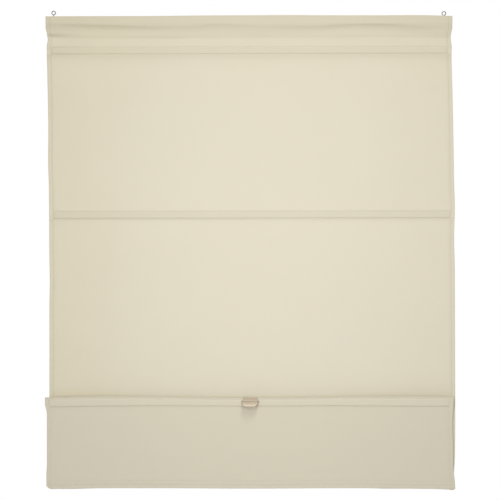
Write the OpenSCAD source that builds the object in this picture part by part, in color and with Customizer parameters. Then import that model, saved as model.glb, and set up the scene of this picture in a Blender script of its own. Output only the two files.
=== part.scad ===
// Roman blind, hung from two screw eyes and gathered up by one fold.
// X runs along the blind, Y points away from the room, Z points up, and the origin lies
// midway between the centres of the two eyes.

/* [Cloth] */
// Finished width of the cloth
cloth_w = 1000; // [700:10:1400]
// Thickness of the cloth
cloth_t = 0.8; // [0.5:0.1:1.1]
// Drop from the head of the cloth to the top of the gathered fold
panel_drop = 935; // [800:1:1400]
// How far the loop of the fold hangs below the top of the fold
loop_drop = 225; // [150:1:320]
// Length of the skirt that hangs in front of the loop
skirt_drop = 224; // [120:1:300]
// How far the panel leans into the room by the time it reaches the fold
panel_lean = 14; // [13.5:0.5:30]
// Width of the hems down both sides
side_hem = 9.4; // [6:0.2:14]
// Height of the hem along the lower edge of the skirt
bottom_hem = 19; // [8:0.5:20]
// How far each side is drawn in below the head
pinch_depth = 3.5; // [1:0.5:12]
// Height of the drawn-in stretch
pinch_h = 52; // [40:1:90]
// Middle of the drawn-in stretch below the head of the cloth
pinch_at = 53; // [52:0.5:80]
// Gap kept between the two legs of the hanging loop
loop_gap = 5.2; // [3:0.2:12]
// How far the middle layer of the fold leans into the room
fold_lean = 4; // [2.5:0.5:12]
// How far the lower edge of the skirt hangs back towards the fold
skirt_tuck = 1; // [0:0.1:2]

/* [Head] */
// Height of the wooden batten
batten_h = 18; // [16:0.5:24]
// Depth of the wooden batten
batten_d = 9; // [7:0.5:18]
// Radius of the batten's long edges
batten_r = 2.5; // [1:0.1:3.2]
// Fall from the underside of the batten to the seam that closes its tunnel
tunnel_fall = 33.5; // [6:0.5:40]
// Length of the head hem's tail below that seam
facing_tail = 6; // [3:0.5:15]

/* [Screw eyes] */
// Distance of each eye from the edge of the cloth
eye_inset = 19.4; // [17:0.2:60]
// Mean diameter of the ring
eye_ring_d = 9; // [7.6:0.2:16]
// Diameter of the wire
eye_wire_d = 2.6; // [1.6:0.1:3]
// Height of the ring above the cloth
eye_rise = 2.5; // [0.5:0.1:4]
// Length of the shank in the wood
eye_bite = 13; // [8:0.5:15]
// Angle left open where the wire of the left ring meets the shank
left_gap_angle = 8; // [2:1:60]
// Angle left open where the wire of the right ring meets the shank
right_gap_angle = 34; // [2:1:60]

/* [Staves and pockets] */
// Height of a stave
stave_h = 13; // [10:0.5:14.5]
// Thickness of a stave
stave_t = 3; // [2:0.1:3.5]
// Distance between the two seams of a stave pocket
pocket_h = 17; // [16:0.5:24]
// Thickness of the pocket tape
tape_t = 0.6; // [0.3:0.1:0.8]
// Width of tape outside each seam
tape_margin = 2.5; // [1.5:0.1:5]
// How far a stave pushes the cloth forward between its two seams
pocket_bulge = 0.8; // [0.2:0.1:1.2]
// Distance from a stave's end to the mouth of its pocket
stave_inset = 5; // [2:0.5:20]
// Centre line of the header stave below the head of the cloth
header_at = 83.8; // [75:0.2:130]
// Centre line of the upper stave below the head of the cloth
upper_at = 489; // [400:0.2:560]
// Upper seam of the lift stave's pocket below the top of the fold
lift_seam_at = 5.8; // [5.4:0.1:14]

/* [Handle] */
// Distance of the handle from the middle of the blind
handle_x = 4; // [-60:1:60]
// Width of the lip
lip_w = 44; // [38:0.5:80]
// Width of the lip's lower edge
lip_foot_w = 37; // [24:0.5:40]
// Width of the back plate
plate_w = 35; // [24:0.5:40]
// Height of the back plate
plate_h = 20.5; // [19:0.5:22]
// Height of the neck that shows above the lip
neck_h = 9; // [5:0.5:10]
// Distance of the handle's top edge below the top of the fold
handle_drop = 1; // [0.5:0.1:4]
// Radius of the lip's upper corners
ear_r = 2.5; // [1:0.1:4]
// Radius of the lip's lower corners
lip_corner_r = 4.5; // [4:0.5:10]
// Height above the lip at which the wall starts to bend
bend_rise = 2; // [0:0.5:4]
// Height of the lip
lip_h = 14.4; // [12:0.2:22]
// Wall of the moulding
handle_t = 2.6; // [1.8:0.1:3]
// Slope of the lip away from the plate
lip_angle = 52; // [42:1:58]
// Radius of the bend between plate and lip
lip_bend_r = 7; // [4:0.5:8]
// Thickness of the rim along the lip's edge
rim_d = 4; // [3.2:0.1:5]
// Diameter of the two pins behind the plate
pin_d = 3; // [2:0.1:4]
// Distance between the two pins
pin_pitch = 18; // [10:0.5:20]

/* [Fits] */
// Slack round a stave, a batten or a hidden turn of the cloth
slack = 0.3; // [0.2:0.05:0.4]
// Gap between two layers that are sewn or pressed together
seat = 0.2; // [0.1:0.05:0.3]
// Gap between a side hem and the end of a tape or of the batten
hem_gap = 1.6; // [0.5:0.1:6]
// Radial clearance of the pins and shanks in their holes
hole_fit = 0.05; // [0.02:0.01:0.1]
// Radial room round a pin or a shank where it pierces the cloth
pierce_room = 0.5; // [0.3:0.1:1]

/* [Hidden] */
$fn = 48;

CLOTH = [0.87, 0.84, 0.74];
TAPE = [0.92, 0.90, 0.84];
WOOD = [0.78, 0.64, 0.45];
ZINC = [0.66, 0.66, 0.68];
STAVE = [0.93, 0.93, 0.91];
PULL = [0.80, 0.72, 0.61];

arc_steps = 8;
half_t = cloth_t / 2;
past = 5;

// Heights of the head
head_top = -(eye_ring_d / 2 + eye_wire_d / 2 + eye_rise);
batten_top = head_top - cloth_t - slack;
batten_foot = batten_top - batten_h;
seam_z = batten_foot - tunnel_fall;
pinch_z = head_top - pinch_at;

// Heights of the staves and of the fold
fold_top = head_top - panel_drop;
header_z = head_top - header_at;
upper_z = head_top - upper_at;
lift_z = fold_top - lift_seam_at - pocket_h / 2;
middle_z = lift_z;
loop_foot = fold_top - loop_drop;
skirt_foot = fold_top - skirt_drop;
pocket_foot = lift_z - pocket_h / 2 - tape_margin;

// Depth of the pocket, and the turns of the cloth that follow from it
pocket_depth = stave_t + tape_t + 4 * slack;
fold_r = (pocket_depth + cloth_t) / 2;
loop_r = (loop_gap + cloth_t) / 2;
fold_z = fold_top - fold_r - half_t;
loop_z = loop_foot + loop_r + half_t;
lean_angle = atan(panel_lean / (seam_z - middle_z));
loop_back_y = panel_y(loop_z);
loop_front_y = loop_back_y - 2 * loop_r;
fold_back_y = loop_front_y - fold_lean;
skirt_y = fold_back_y - 2 * fold_r;
skirt_foot_y = skirt_y + skirt_tuck;
pull_y = skirt_y - half_t - pocket_bulge;

// Lengths along the blind
tape_l = cloth_w - 2 * side_hem - 2 * hem_gap;
stave_l = tape_l - 2 * stave_inset;
batten_l = tape_l;
eye_x = cloth_w / 2 - eye_inset;

// Centre of the panel's cloth at a height
function panel_y(z) = -half_t - tan(lean_angle) * (seam_z - z);

// The four points where a pocket turns the cloth, from its upper seam to its lower one, for cloth that
// passes through p and hangs at an angle
function over_stave(p, angle) =
    let (up = [sin(angle), cos(angle)], out = [-cos(angle), sin(angle)])
    [for (q = [[pocket_h, 0], [stave_h, pocket_bulge], [-stave_h, pocket_bulge], [-pocket_h, 0]])
        p + q.x / 2 * up + q.y * out];
function over_panel_stave(z) = over_stave([panel_y(z), z], lean_angle);

// Points on an arc round c
function arc(c, r, from, to) =
    [for (i = [0 : arc_steps]) let (a = from + (to - from) * i / arc_steps) c + r * [cos(a), sin(a)]];

// A path moved sideways, to the left of its direction where d is positive
function unit(v) = v / norm(v);
function left_of(v) = [-v.y, v.x];
function heading(p, i) = left_of(unit(p[i + 1] - p[i]));
function mitre(p, i) =
    let (a = heading(p, max(i - 1, 0)), b = heading(p, min(i, len(p) - 2)), n = unit(a + b)) n / (n * a);
function beside(p, d) = [for (i = [0 : len(p) - 1]) p[i] + d * mitre(p, i)];
function backwards(p) = [for (i = [len(p) - 1 : -1 : 0]) p[i]];

// A band along a path, between two distances from it
module band(p, near, far) polygon(concat(beside(p, near), backwards(beside(p, far))));

// A section in Y and Z, drawn out along X
module along_x(length) rotate([90, 0, 90]) linear_extrude(length, center = true) children();

// An outline in X and Z, drawn out along Y
module along_y(depth) rotate([90, 0, 0]) linear_extrude(depth, center = true) children();

// A place on the back of the leaning panel
module on_panel(z)
    translate([0, panel_y(z), z]) rotate([-lean_angle, 0, 0]) translate([0, half_t, 0]) children();

// A place on the back of the skirt, at the lift stave
module on_skirt() translate([0, skirt_y + half_t, lift_z]) children();

module at_pins() for (side = [-1, 1]) translate([handle_x + side * pin_pitch / 2, 0, 0]) children();

// Angle that the tunnel's cloth turns round a lower edge of the batten to reach the seam
wrap_r = batten_r + slack + half_t;
batten_edge_y = batten_d / 2 - batten_r;
function wrap_angle(seam_y) =
    let (in = batten_edge_y - seam_y, down = batten_foot + batten_r - seam_z)
    asin(wrap_r / norm([in, down])) + atan2(in, down);

tail_y = half_t + seat;

// The cloth's path through the tunnel, from the tail of the head hem round the batten to the seam
tunnel_path = concat(
    [[tail_y, seam_z - facing_tail], [tail_y, seam_z]],
    arc([batten_edge_y, batten_foot + batten_r], wrap_r, -wrap_angle(tail_y), 0),
    arc([batten_edge_y, batten_top - batten_r], wrap_r, 0, 90),
    arc([-batten_edge_y, batten_top - batten_r], wrap_r, 90, 180),
    arc([-batten_edge_y, batten_foot + batten_r], wrap_r, 180, 180 + wrap_angle(half_t))
);

// From the seam down the panel, round the loop, over the lift stave and down the skirt
hang_path = concat(
    [[-half_t, seam_z]],
    over_panel_stave(header_z),
    over_panel_stave(upper_z),
    over_panel_stave(middle_z),
    arc([loop_back_y - loop_r, loop_z], loop_r, 0, -180),
    arc([fold_back_y - fold_r, fold_z], fold_r, 0, 180),
    over_stave([skirt_y, lift_z], 0),
    [[skirt_y, pocket_foot], [skirt_foot_y, skirt_foot]]
);

function hem_point(up) =
    let (run = unit([skirt_y, pocket_foot] - [skirt_foot_y, skirt_foot])) [skirt_foot_y, skirt_foot] + up * run;

// One side's cutter for the stretch of cloth that is drawn in below the head
module pinch() {
    bulge = [for (i = [-arc_steps : arc_steps]) let (u = i / arc_steps)
        [cloth_w / 2 - pinch_depth * pow(cos(90 * u), 2), pinch_z + u * pinch_h / 2]];
    along_y(2 * batten_d + panel_lean)
        polygon(concat(bulge, [[cloth_w / 2 + past, pinch_z + pinch_h / 2], [cloth_w / 2 + past, pinch_z - pinch_h / 2]]));
}

module cloth() color(CLOTH) difference() {
    union() {
        along_x(cloth_w) band(concat(tunnel_path, hang_path), -half_t, half_t);
        for (side = [-1, 1]) translate([side * (cloth_w - side_hem) / 2, 0, 0])
            along_x(side_hem) band(hang_path, 0, half_t + cloth_t);
        along_x(cloth_w) band([hem_point(bottom_hem), hem_point(0)], 0, half_t + cloth_t);
    }
    for (turn = [0, 1]) mirror([turn, 0, 0]) pinch();
    for (side = [-1, 1]) translate([side * eye_x, 0, batten_top - slack])
        cylinder(h = cloth_t + 4 * slack, d = eye_wire_d + 2 * pierce_room);
    at_pins() translate([0, skirt_y - pocket_bulge, lift_z]) rotate([90, 0, 0])
        cylinder(h = cloth_t + 2 * seat, d = pin_d + 2 * pierce_room, center = true);
}

// A tape whose margins are sewn to the cloth, standing off it between the seams to hold a stave
module pocket_tape() color(TAPE) {
    flat_y = seat + tape_t / 2;
    raised_y = stave_t + 2 * slack - pocket_bulge + tape_t / 2;
    raised_z = stave_h / 2 + slack + tape_t / 2;
    upper_half = [[raised_y, raised_z], [flat_y, pocket_h / 2], [flat_y, pocket_h / 2 + tape_margin]];
    lower_half = [for (p = backwards(upper_half)) [p.x, -p.y]];
    along_x(tape_l) band(concat(lower_half, upper_half), -tape_t / 2, tape_t / 2);
}

module header_tape() on_panel(header_z) pocket_tape();
module upper_tape() on_panel(upper_z) pocket_tape();
module middle_tape() on_panel(middle_z) pocket_tape();
module lift_tape() on_skirt() pocket_tape();

// A flat stave with full-round edges and round ends, lying in its pocket
module stave() color(STAVE) translate([0, slack + stave_t / 2 - pocket_bulge, 0]) intersection() {
    along_x(stave_l) {
        square([stave_t, stave_h - stave_t], center = true);
        for (side = [-1, 1]) translate([0, side * (stave_h - stave_t) / 2]) circle(d = stave_t);
    }
    along_y(2 * stave_t) {
        square([stave_l - stave_h, 2 * stave_h], center = true);
        for (side = [-1, 1]) translate([side * (stave_l - stave_h) / 2, 0]) circle(d = stave_h);
    }
}

module header_stave() on_panel(header_z) stave();
module upper_stave() on_panel(upper_z) stave();
module middle_stave() on_panel(middle_z) stave();

module lift_stave() color(STAVE) on_skirt() difference() {
    stave();
    at_pins() rotate([90, 0, 0]) cylinder(h = 4 * stave_t, d = pin_d + 2 * hole_fit, center = true);
}

// A rectangular wooden strip with rounded long edges, bored for the two shanks
module head_batten() color(WOOD) difference() {
    translate([0, 0, batten_foot + batten_h / 2]) along_x(batten_l) {
        square([batten_d - 2 * batten_r, batten_h], center = true);
        square([batten_d, batten_h - 2 * batten_r], center = true);
        for (y = [-1, 1], z = [-1, 1])
            translate([y * batten_edge_y, z * (batten_h / 2 - batten_r)]) circle(r = batten_r);
    }
    for (side = [-1, 1]) translate([side * eye_x, 0, batten_top - eye_bite - 2 * hole_fit])
        cylinder(h = eye_bite + past, d = eye_wire_d + 2 * hole_fit);
}

// One length of wire: a pointed shank, and a ring bent round until its end nearly meets the shank
module screw_eye(gap_angle) color(ZINC) {
    ring_r = eye_ring_d / 2;
    point_l = 1.5 * eye_wire_d;
    rotate([90, 0, 0]) rotate(-90)
        rotate_extrude(angle = 360 - gap_angle) translate([ring_r, 0]) circle(d = eye_wire_d);
    translate([0, 0, batten_top - eye_bite]) {
        cylinder(h = point_l, d1 = eye_wire_d / 4, d2 = eye_wire_d);
        translate([0, 0, point_l])
            cylinder(h = -ring_r - batten_top + eye_bite - point_l, d = eye_wire_d);
    }
}

module screw_eye_left() translate([-eye_x, 0, 0]) screw_eye(left_gap_angle);
module screw_eye_right() translate([eye_x, 0, 0]) screw_eye(right_gap_angle);

// Side view of the pull: a flat plate on the cloth, and a lip that swings out of it to a rounded rim
module pull_section() {
    plate_y = -seat - handle_t / 2;
    bend_z = bend_rise - neck_h;
    bend_c = [plate_y - lip_bend_r, bend_z];
    bend = arc(bend_c, lip_bend_r, 0, -lip_angle);
    bend_end = bend[arc_steps];
    rim_z = rim_d / 2 - neck_h - lip_h;
    rim_c = bend_end + (bend_end.y - rim_z) * [-tan(lip_angle), -1];
    translate([plate_y - handle_t / 2, -plate_h]) square([handle_t, plate_h]);
    band(concat([[plate_y, bend_z + 1]], bend, [rim_c]), -handle_t / 2, handle_t / 2);
    translate(rim_c) circle(d = rim_d);
}

// Front view of the pull: a plain plate above, and a wider lip with round lower corners
module pull_outline() {
    foot = -neck_h - lip_h;
    translate([-plate_w / 2, -plate_h]) square([plate_w, plate_h]);
    right = concat(
        arc([lip_w / 2 - ear_r, -neck_h - ear_r], ear_r, 90, -20),
        arc([lip_foot_w / 2 - lip_corner_r + ear_r, foot + lip_corner_r], lip_corner_r, -20, -90)
    );
    polygon(concat(right, [for (p = backwards(right)) [-p.x, p.y]]));
}

module handle() color(PULL) translate([handle_x, pull_y, fold_top - handle_drop]) {
    intersection() {
        along_x(2 * lip_w) pull_section();
        along_y(4 * (lip_h + lip_bend_r)) pull_outline();
    }
    for (side = [-1, 1]) translate([side * pin_pitch / 2, -seat - handle_t / 2, lift_z - fold_top + handle_drop])
        rotate([-90, 0, 0]) cylinder(h = handle_t / 2 + seat + cloth_t + slack + stave_t, d = pin_d);
}

cloth();
header_tape();
upper_tape();
middle_tape();
lift_tape();
head_batten();
screw_eye_left();
screw_eye_right();
header_stave();
upper_stave();
middle_stave();
lift_stave();
handle();
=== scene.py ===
import math

import bpy
import numpy as np
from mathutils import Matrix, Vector


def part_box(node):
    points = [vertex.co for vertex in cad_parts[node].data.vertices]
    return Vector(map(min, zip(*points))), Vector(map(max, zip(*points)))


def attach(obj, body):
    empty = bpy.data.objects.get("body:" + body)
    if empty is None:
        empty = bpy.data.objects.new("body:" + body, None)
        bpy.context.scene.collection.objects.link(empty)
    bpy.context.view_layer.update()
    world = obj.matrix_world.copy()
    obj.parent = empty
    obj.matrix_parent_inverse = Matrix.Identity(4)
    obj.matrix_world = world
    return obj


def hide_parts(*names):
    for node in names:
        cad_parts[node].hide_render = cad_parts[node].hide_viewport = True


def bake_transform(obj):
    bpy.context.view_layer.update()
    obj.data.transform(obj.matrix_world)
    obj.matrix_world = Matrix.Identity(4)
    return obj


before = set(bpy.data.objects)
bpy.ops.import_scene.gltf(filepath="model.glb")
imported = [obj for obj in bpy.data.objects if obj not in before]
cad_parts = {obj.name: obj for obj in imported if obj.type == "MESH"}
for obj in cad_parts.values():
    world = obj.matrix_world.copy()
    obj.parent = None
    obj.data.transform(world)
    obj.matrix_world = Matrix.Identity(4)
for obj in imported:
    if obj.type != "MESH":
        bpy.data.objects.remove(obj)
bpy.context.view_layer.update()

# The camera stands level with the middle of the blind and straight in front of it. It is far off and has
# a long lens, so that the sides of the cloth stay upright in the picture.
scene = bpy.context.scene
scene.view_settings.view_transform = "Standard"
lens = bpy.data.cameras.new("camera")
lens.lens = 135
lens.sensor_width = 36
lens.clip_end = 60
camera = bpy.data.objects.new("camera", lens)
camera.location = (0.003, -4.62, -0.584)
camera.rotation_euler = (math.radians(90), 0, 0)
scene.collection.objects.link(camera)
scene.camera = camera

# The cloth: one length of cream plain-weave cotton, turned in and hemmed down both sides and along its
# lower edge. It wraps the batten, hangs as a panel, comes up again in a loop, passes over the lift stave
# and ends as a skirt. It is laid in three lengths that meet below a pocket, one for each sliding joint.
cloth_t = 0.0008
half_t = cloth_t / 2
hem_w = 0.0094
foot_hem = 0.0192
press_up = 0.0094
pocket_h = 0.017
seam_off = pocket_h / 2
stave_h = 0.013
pocket_bulge = 0.0008
stave_back = 0.0014
tunnel_fall = 0.0335
tail_h = 0.006
batten_r = 0.0025
slack = 0.0003
seat = 0.0002
fold_seam = 0.0058
skirt_drop = 0.224
skirt_tuck = 0.001
fold_r = 0.0028
loop_r = 0.003
tape_margin = 0.0025
cream = (0.808, 0.753, 0.614, 1)
# Painted shade of the cream, for cloth that lies in layers.
cream_layer_shade = (0.722, 0.671, 0.532, 1)
# Painted shade of the cream, along seams, hem edges and creases.
cream_seam = (0.640, 0.588, 0.462, 1)
slub_dark = (0.745, 0.690, 0.548, 1)
# A painted warm cast of the light.
light_tint_colour = (1, 0.993, 0.94, 1)


class Shade:
    """A value in a material's nodes, so that shader maths reads as sums and products."""

    def __init__(self, tree, socket=None):
        self.tree = tree
        self.socket = socket

    def node(self, kind, settings=None, inputs=None, out=0):
        made = self.tree.nodes.new("ShaderNode" + kind)
        for name, value in (settings or {}).items():
            setattr(made, name, value)
        for name, value in (inputs or {}).items():
            if isinstance(value, Shade):
                self.tree.links.new(value.socket, made.inputs[name])
            else:
                made.inputs[name].default_value = value
        return Shade(self.tree, made.outputs[out] if made.outputs else None)

    def maths(self, operation, first, second):
        return self.node("Math", {"operation": operation}, {0: first, 1: second})

    def __add__(self, other):
        return self.maths("ADD", self, other)

    def __radd__(self, other):
        return self.maths("ADD", other, self)

    def __sub__(self, other):
        return self.maths("SUBTRACT", self, other)

    def __mul__(self, other):
        return self.maths("MULTIPLY", self, other)

    def __rmul__(self, other):
        return self.maths("MULTIPLY", other, self)

    def __pow__(self, other):
        return self.maths("POWER", self, other)

    def blend(self, plain, full):
        """A colour between two, by this value."""
        return self.node("Mix", {"data_type": "RGBA"}, {0: self, 6: plain, 7: full}, out=2)

    def feeds(self, socket):
        self.tree.links.new(self.socket, socket)


def finish(name, roughness):
    """A new material, its first shade and its shader."""
    material = bpy.data.materials.new(name)
    material.use_nodes = True
    skin = material.node_tree.nodes["Principled BSDF"]
    skin.inputs["Roughness"].default_value = roughness
    return material, Shade(material.node_tree), skin


def raise_skin(skin, height, strength, distance):
    """Lets a value of the material stand out as relief."""
    relief = height.node("Bump", inputs={"Strength": strength, "Distance": distance, "Height": height})
    relief.feeds(skin.inputs["Normal"])


def woven(name, thread_pitch, plain, layer_shade_colour, seamed, uneven):
    """Plain weave: threads over and under, thick places in the yarn, painted shade where the cloth lies in
    layers and along seams and creases, and a painted warm cast of the light.
    """
    material, shade, skin = finish(name, 0.92)
    cut = shade.node("UVMap", {"uv_map": "cut"})
    x = shade.node("SeparateXYZ", inputs={0: cut})
    y = shade.node("SeparateXYZ", inputs={0: cut}, out=1)
    turns = math.pi / thread_pitch
    weft = shade.maths("SINE", y * turns, 0.0)
    warp = shade.maths("SINE", x * turns, 0.0)
    over = 0.5 + 0.5 * (warp * weft)
    long_way = shade.node("CombineXYZ", inputs={0: x * 60.0, 1: y * 1400.0})
    cross_way = shade.node("CombineXYZ", inputs={0: x * 1100.0, 1: y * 50.0})
    weft_slub = shade.node("TexNoise", inputs={"Vector": long_way, "Scale": 1.0, "Detail": 2.0})
    warp_slub = shade.node("TexNoise", inputs={"Vector": cross_way, "Scale": 1.0, "Detail": 2.0})
    cloud = shade.node("TexNoise", inputs={"Vector": cut, "Scale": 9.0, "Detail": 3.0})
    marks = ("layer_shade", "seam", "light_tint")
    layer_shade, seam, light_tint = (shade.node("Attribute", {"attribute_name": mark}, out=2) for mark in marks)
    yarn = (weft_slub * 0.6 + warp_slub * 0.5 + cloud * 0.5 - 0.55) * 0.9
    ground = (yarn * 0.55).blend(plain, uneven)
    # Painted shade where the cloth lies in layers and along its seams and creases.
    shaded_ground = seam.blend(layer_shade.blend(ground, layer_shade_colour), seamed)
    # A painted warm cast of the light, multiplied over the colour.
    tinted = {0: light_tint, 6: shaded_ground, 7: light_tint_colour}
    light_tinted = shade.node("Mix", {"data_type": "RGBA", "blend_type": "MULTIPLY"}, tinted, out=2)
    light_tinted.feeds(skin.inputs["Base Color"])
    (0.86 + 0.1 * over).feeds(skin.inputs["Roughness"])
    raise_skin(skin, over * 0.6 + weft_slub * 0.5 + warp_slub * 0.4, 0.25, 0.0003)
    skin.inputs["Specular IOR Level"].default_value = 0.2
    skin.inputs["Sheen Weight"].default_value = 0.12
    skin.inputs["Sheen Roughness"].default_value = 0.5
    return material


cotton = woven("cotton", 0.0009, cream, cream_layer_shade, cream_seam, slub_dark)


def smooth(t):
    t = np.clip(t, 0, 1)
    return t * t * (3 - 2 * t)


def bell(t):
    return np.exp(-(t ** 2))


def centre_of(node):
    low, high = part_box(node)
    return (low + high) / 2


def slab(points, front, back, side_gap=None, first_gap=None, last_gap=None):
    """Vertices and faces of a sheet with both faces and rounded rims. The gaps are the distances to a rim."""
    across = np.gradient(points, axis=1)
    along = np.gradient(points, axis=0)
    normal = np.cross(across, along)
    normal /= np.linalg.norm(normal, axis=2, keepdims=True)
    rows, columns = points.shape[:2]
    half = (front + back) / 2 * np.ones((rows, columns))
    middle_of = (back - front) / 2 * np.ones((rows, columns))
    for gap in (side_gap, first_gap, last_gap):
        if gap is not None:
            inset = np.clip(gap / half, 0.02, 1)
            half = half * np.sqrt(1 - (1 - inset) ** 2)
    face_front = points + normal * (middle_of - half)[..., None]
    face_back = points + normal * (middle_of + half)[..., None]
    f = np.arange(rows * columns).reshape(rows, columns)
    b = f + rows * columns
    quads = [
        np.stack([b[:-1, :-1], b[:-1, 1:], b[1:, 1:], b[1:, :-1]], -1).reshape(-1, 4),
        np.stack([f[1:, :-1], f[1:, 1:], f[:-1, 1:], f[:-1, :-1]], -1).reshape(-1, 4),
        np.stack([b[:-1, 0], b[1:, 0], f[1:, 0], f[:-1, 0]], -1),
        np.stack([f[:-1, -1], f[1:, -1], b[1:, -1], b[:-1, -1]], -1),
        np.stack([f[0, :-1], f[0, 1:], b[0, 1:], b[0, :-1]], -1),
        np.stack([b[-1, :-1], b[-1, 1:], f[-1, 1:], f[-1, :-1]], -1),
    ]
    vertices = np.concatenate([face_front.reshape(-1, 3), face_back.reshape(-1, 3)])
    return vertices, np.concatenate(quads).tolist(), face_front, face_back, normal


def piece(name, vertices, faces, material, cut=None, marks=None):
    """A smooth mesh object, with the place on the flat cut and the painted marks of each vertex."""
    mesh = bpy.data.meshes.new(name)
    mesh.from_pydata(vertices.tolist(), [], faces)
    mesh.polygons.foreach_set("use_smooth", np.ones(len(mesh.polygons), bool))
    for mark, values in (marks or {}).items():
        layer = mesh.attributes.new(mark, "FLOAT", "POINT")
        layer.data.foreach_set("value", np.asarray(values, np.float32).ravel())
    if cut is not None:
        corner = np.zeros(len(mesh.loops), np.int32)
        mesh.loops.foreach_get("vertex_index", corner)
        layer = mesh.uv_layers.new(name="cut")
        layer.data.foreach_set("uv", np.asarray(cut, np.float32)[corner].ravel())
    mesh.materials.append(material)
    mesh.update()
    made = bpy.data.objects.new(name, mesh)
    scene.collection.objects.link(made)
    return made


cloth_lo, cloth_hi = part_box("cloth")
batten_lo, batten_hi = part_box("head_batten")
header = centre_of("header_stave")
upper = centre_of("upper_stave")
middle = centre_of("middle_stave")
lift = centre_of("lift_stave")
half_w = cloth_hi.x
lean = (header.y - middle.y) / (header.z - middle.z)
seam_z = batten_lo.z - tunnel_fall
fold_top = lift.z + seam_off + fold_seam
fold_z = fold_top - fold_r - half_t
skirt_y = lift.y - stave_back
skirt_foot = fold_top - skirt_drop
fold_back_y = skirt_y + 2 * fold_r
loop_z = cloth_lo.z + cloth_t + loop_r + half_t
below_pocket = seam_off + 0.003


def panel_y(z):
    return lean * (z - seam_z) - half_t


def bend(y, z, radius, start, stop, steps=12):
    """Rows round a turn of the cloth, seen from the side."""
    turn = np.radians(np.linspace(start, stop, steps))
    return np.stack([y + radius * np.cos(turn), z + radius * np.sin(turn)], 1)


def rows_down(top, foot, seams, step=0.007):
    """Heights from top to foot, close together round each seam."""
    close = np.array([-5, -3.4, -2.2, -1.4, -0.9, -0.45, 0, 0.45, 0.9, 1.4, 2.2, 3.4, 5]) / 1000
    plain = np.linspace(top, foot, round((top - foot) / step) + 1)
    z = np.unique(np.concatenate([plain] + [seam + close for seam in seams]).round(4))
    inner = z[(z < top - 0.0003) & (z > foot + 0.0003)][::-1]
    return np.concatenate([[top], inner, [foot]])


def filled(spine, step):
    """The same rows with more between those that lie far apart."""
    out = [spine[:1]]
    for a, b in zip(spine[:-1], spine[1:]):
        parts = max(1, math.ceil(np.linalg.norm(b - a) / step))
        out.append(a + (b - a) * np.arange(1, parts + 1)[:, None] / parts)
    return np.concatenate(out)


def pocket_seams(stave):
    return [stave.z + seam_off, stave.z - seam_off]


rim = np.array([
    0, 0.08, 0.25, 0.5, 0.9, 2, 4, 6.5, 8.3, 8.9, 9.4, 9.9, 10.5, 11.2, 12, 13.2, 15, 20, 26,
]) / 1000


def rimmed(low, high, close, inset, count):
    """Places from edge to edge, the first few close to each edge."""
    inside = np.linspace(low + inset, high - inset, count)
    return np.concatenate([low + rim[:close], inside, high - rim[:close][::-1]])


flat_x = rimmed(-half_w, half_w, len(rim), 0.032, 150)[None, :]
left_side = smooth((-flat_x - 0.40) / 0.09)
right_side = smooth((flat_x - 0.40) / 0.09)
edge_gap = half_w - np.abs(flat_x)
side_hem = smooth((hem_w + 0.0004 - edge_gap) / 0.0008)
hem_stitch = bell((edge_gap - hem_w) / 0.0014)
# Painted shade: a soft band inside each hem and a dark line at the very edge of the cloth.
hem_fade = bell((edge_gap - hem_w) / 0.006) * (edge_gap > hem_w)
hem_edge = bell(edge_gap / 0.0016)
hem_column = int(np.argmin(np.abs(rim - hem_w)))
between_hems = slice(hem_column, flat_x.shape[1] - hem_column)
tape_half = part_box("upper_tape")[1].x
pocket_end = half_w - tape_half
end_r = 0.004
past_end = np.clip((edge_gap - pocket_end) / end_r, 0, 1)
pocket_half = seam_off - end_r * (1 - np.sqrt(1 - (1 - past_end) ** 2))
has_pocket = smooth((edge_gap - pocket_end + 0.0006) / 0.0012)


def over_stave(z, stave):
    """How far a stave pushes the cloth forward, with a nip at its two seams."""
    d = np.abs(z - stave.z)
    push = pocket_bulge * smooth((seam_off - d) / ((pocket_h - stave_h) / 2))
    nip = 0.0002 * bell((d - seam_off) / 0.001)
    return (push - nip) * smooth((edge_gap - hem_w) / 0.004)


def near_seams(z, stave, half=pocket_half):
    """A painted shade along a pocket's two seams: a narrow line in a wider soft one, round at the pocket's
    ends.
    """
    d = np.abs(z - stave.z) - half
    return (0.75 * bell(d / 0.0014) + 0.4 * bell(d / 0.004)) * has_pocket


def below_stave(z, stave, depth, fall, back):
    """The cloth falls back below a pocket and comes forward again further down."""
    d = stave.z - seam_off - z
    return depth * smooth(d / fall) * (1 - smooth((d - fall) / back))


def in_pocket(z, stave):
    return smooth((pocket_half + tape_margin - np.abs(z - stave.z)) / 0.0015) * has_pocket


def drift(z):
    """The panel hangs a little to the right of its head."""
    aside = 0.0005 + 0.0085 * (1 - np.exp(-np.maximum(-0.095 - z, 0) / 0.25))
    return aside - 0.0016 * smooth((-1.0 - z) / 0.16)


def swerve(z):
    """The sides bow out above the upper stave, and in below it."""
    right = 0.0014 * bell((z + 0.475) / 0.04) - 0.0011 * bell((z + 0.562) / 0.035)
    left = 0.0011 * bell((z + 0.658) / 0.04) - 0.0015 * bell((z + 0.362) / 0.05)
    return right * right_side + left * left_side


def spread(z):
    """The head is drawn out along its batten, and the free panel draws in a little."""
    return 1 + 0.0014 * smooth((z - seam_z) / 0.03) - 0.0032 * smooth((-0.066 - z) / 0.055)


def sway(x, z):
    """Slow unevenness of hanging cloth, which the staves hold flat."""
    held = np.ones_like(z)
    for stave in (header, upper, middle):
        held = held * (1 - bell((z - stave.z) / 0.045))
    waves = (
        0.5 * np.sin(9.1 * x + 3.7 * z + 0.4)
        + 0.4 * np.sin(15.3 * x - 6.1 * z + 2.1)
        + 0.3 * np.sin(5.2 * x + 21.7 * z + 1.3)
        + 0.2 * np.sin(31.0 * x + 11.0 * z + 5.0)
    )
    return 0.0009 * waves * held


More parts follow.
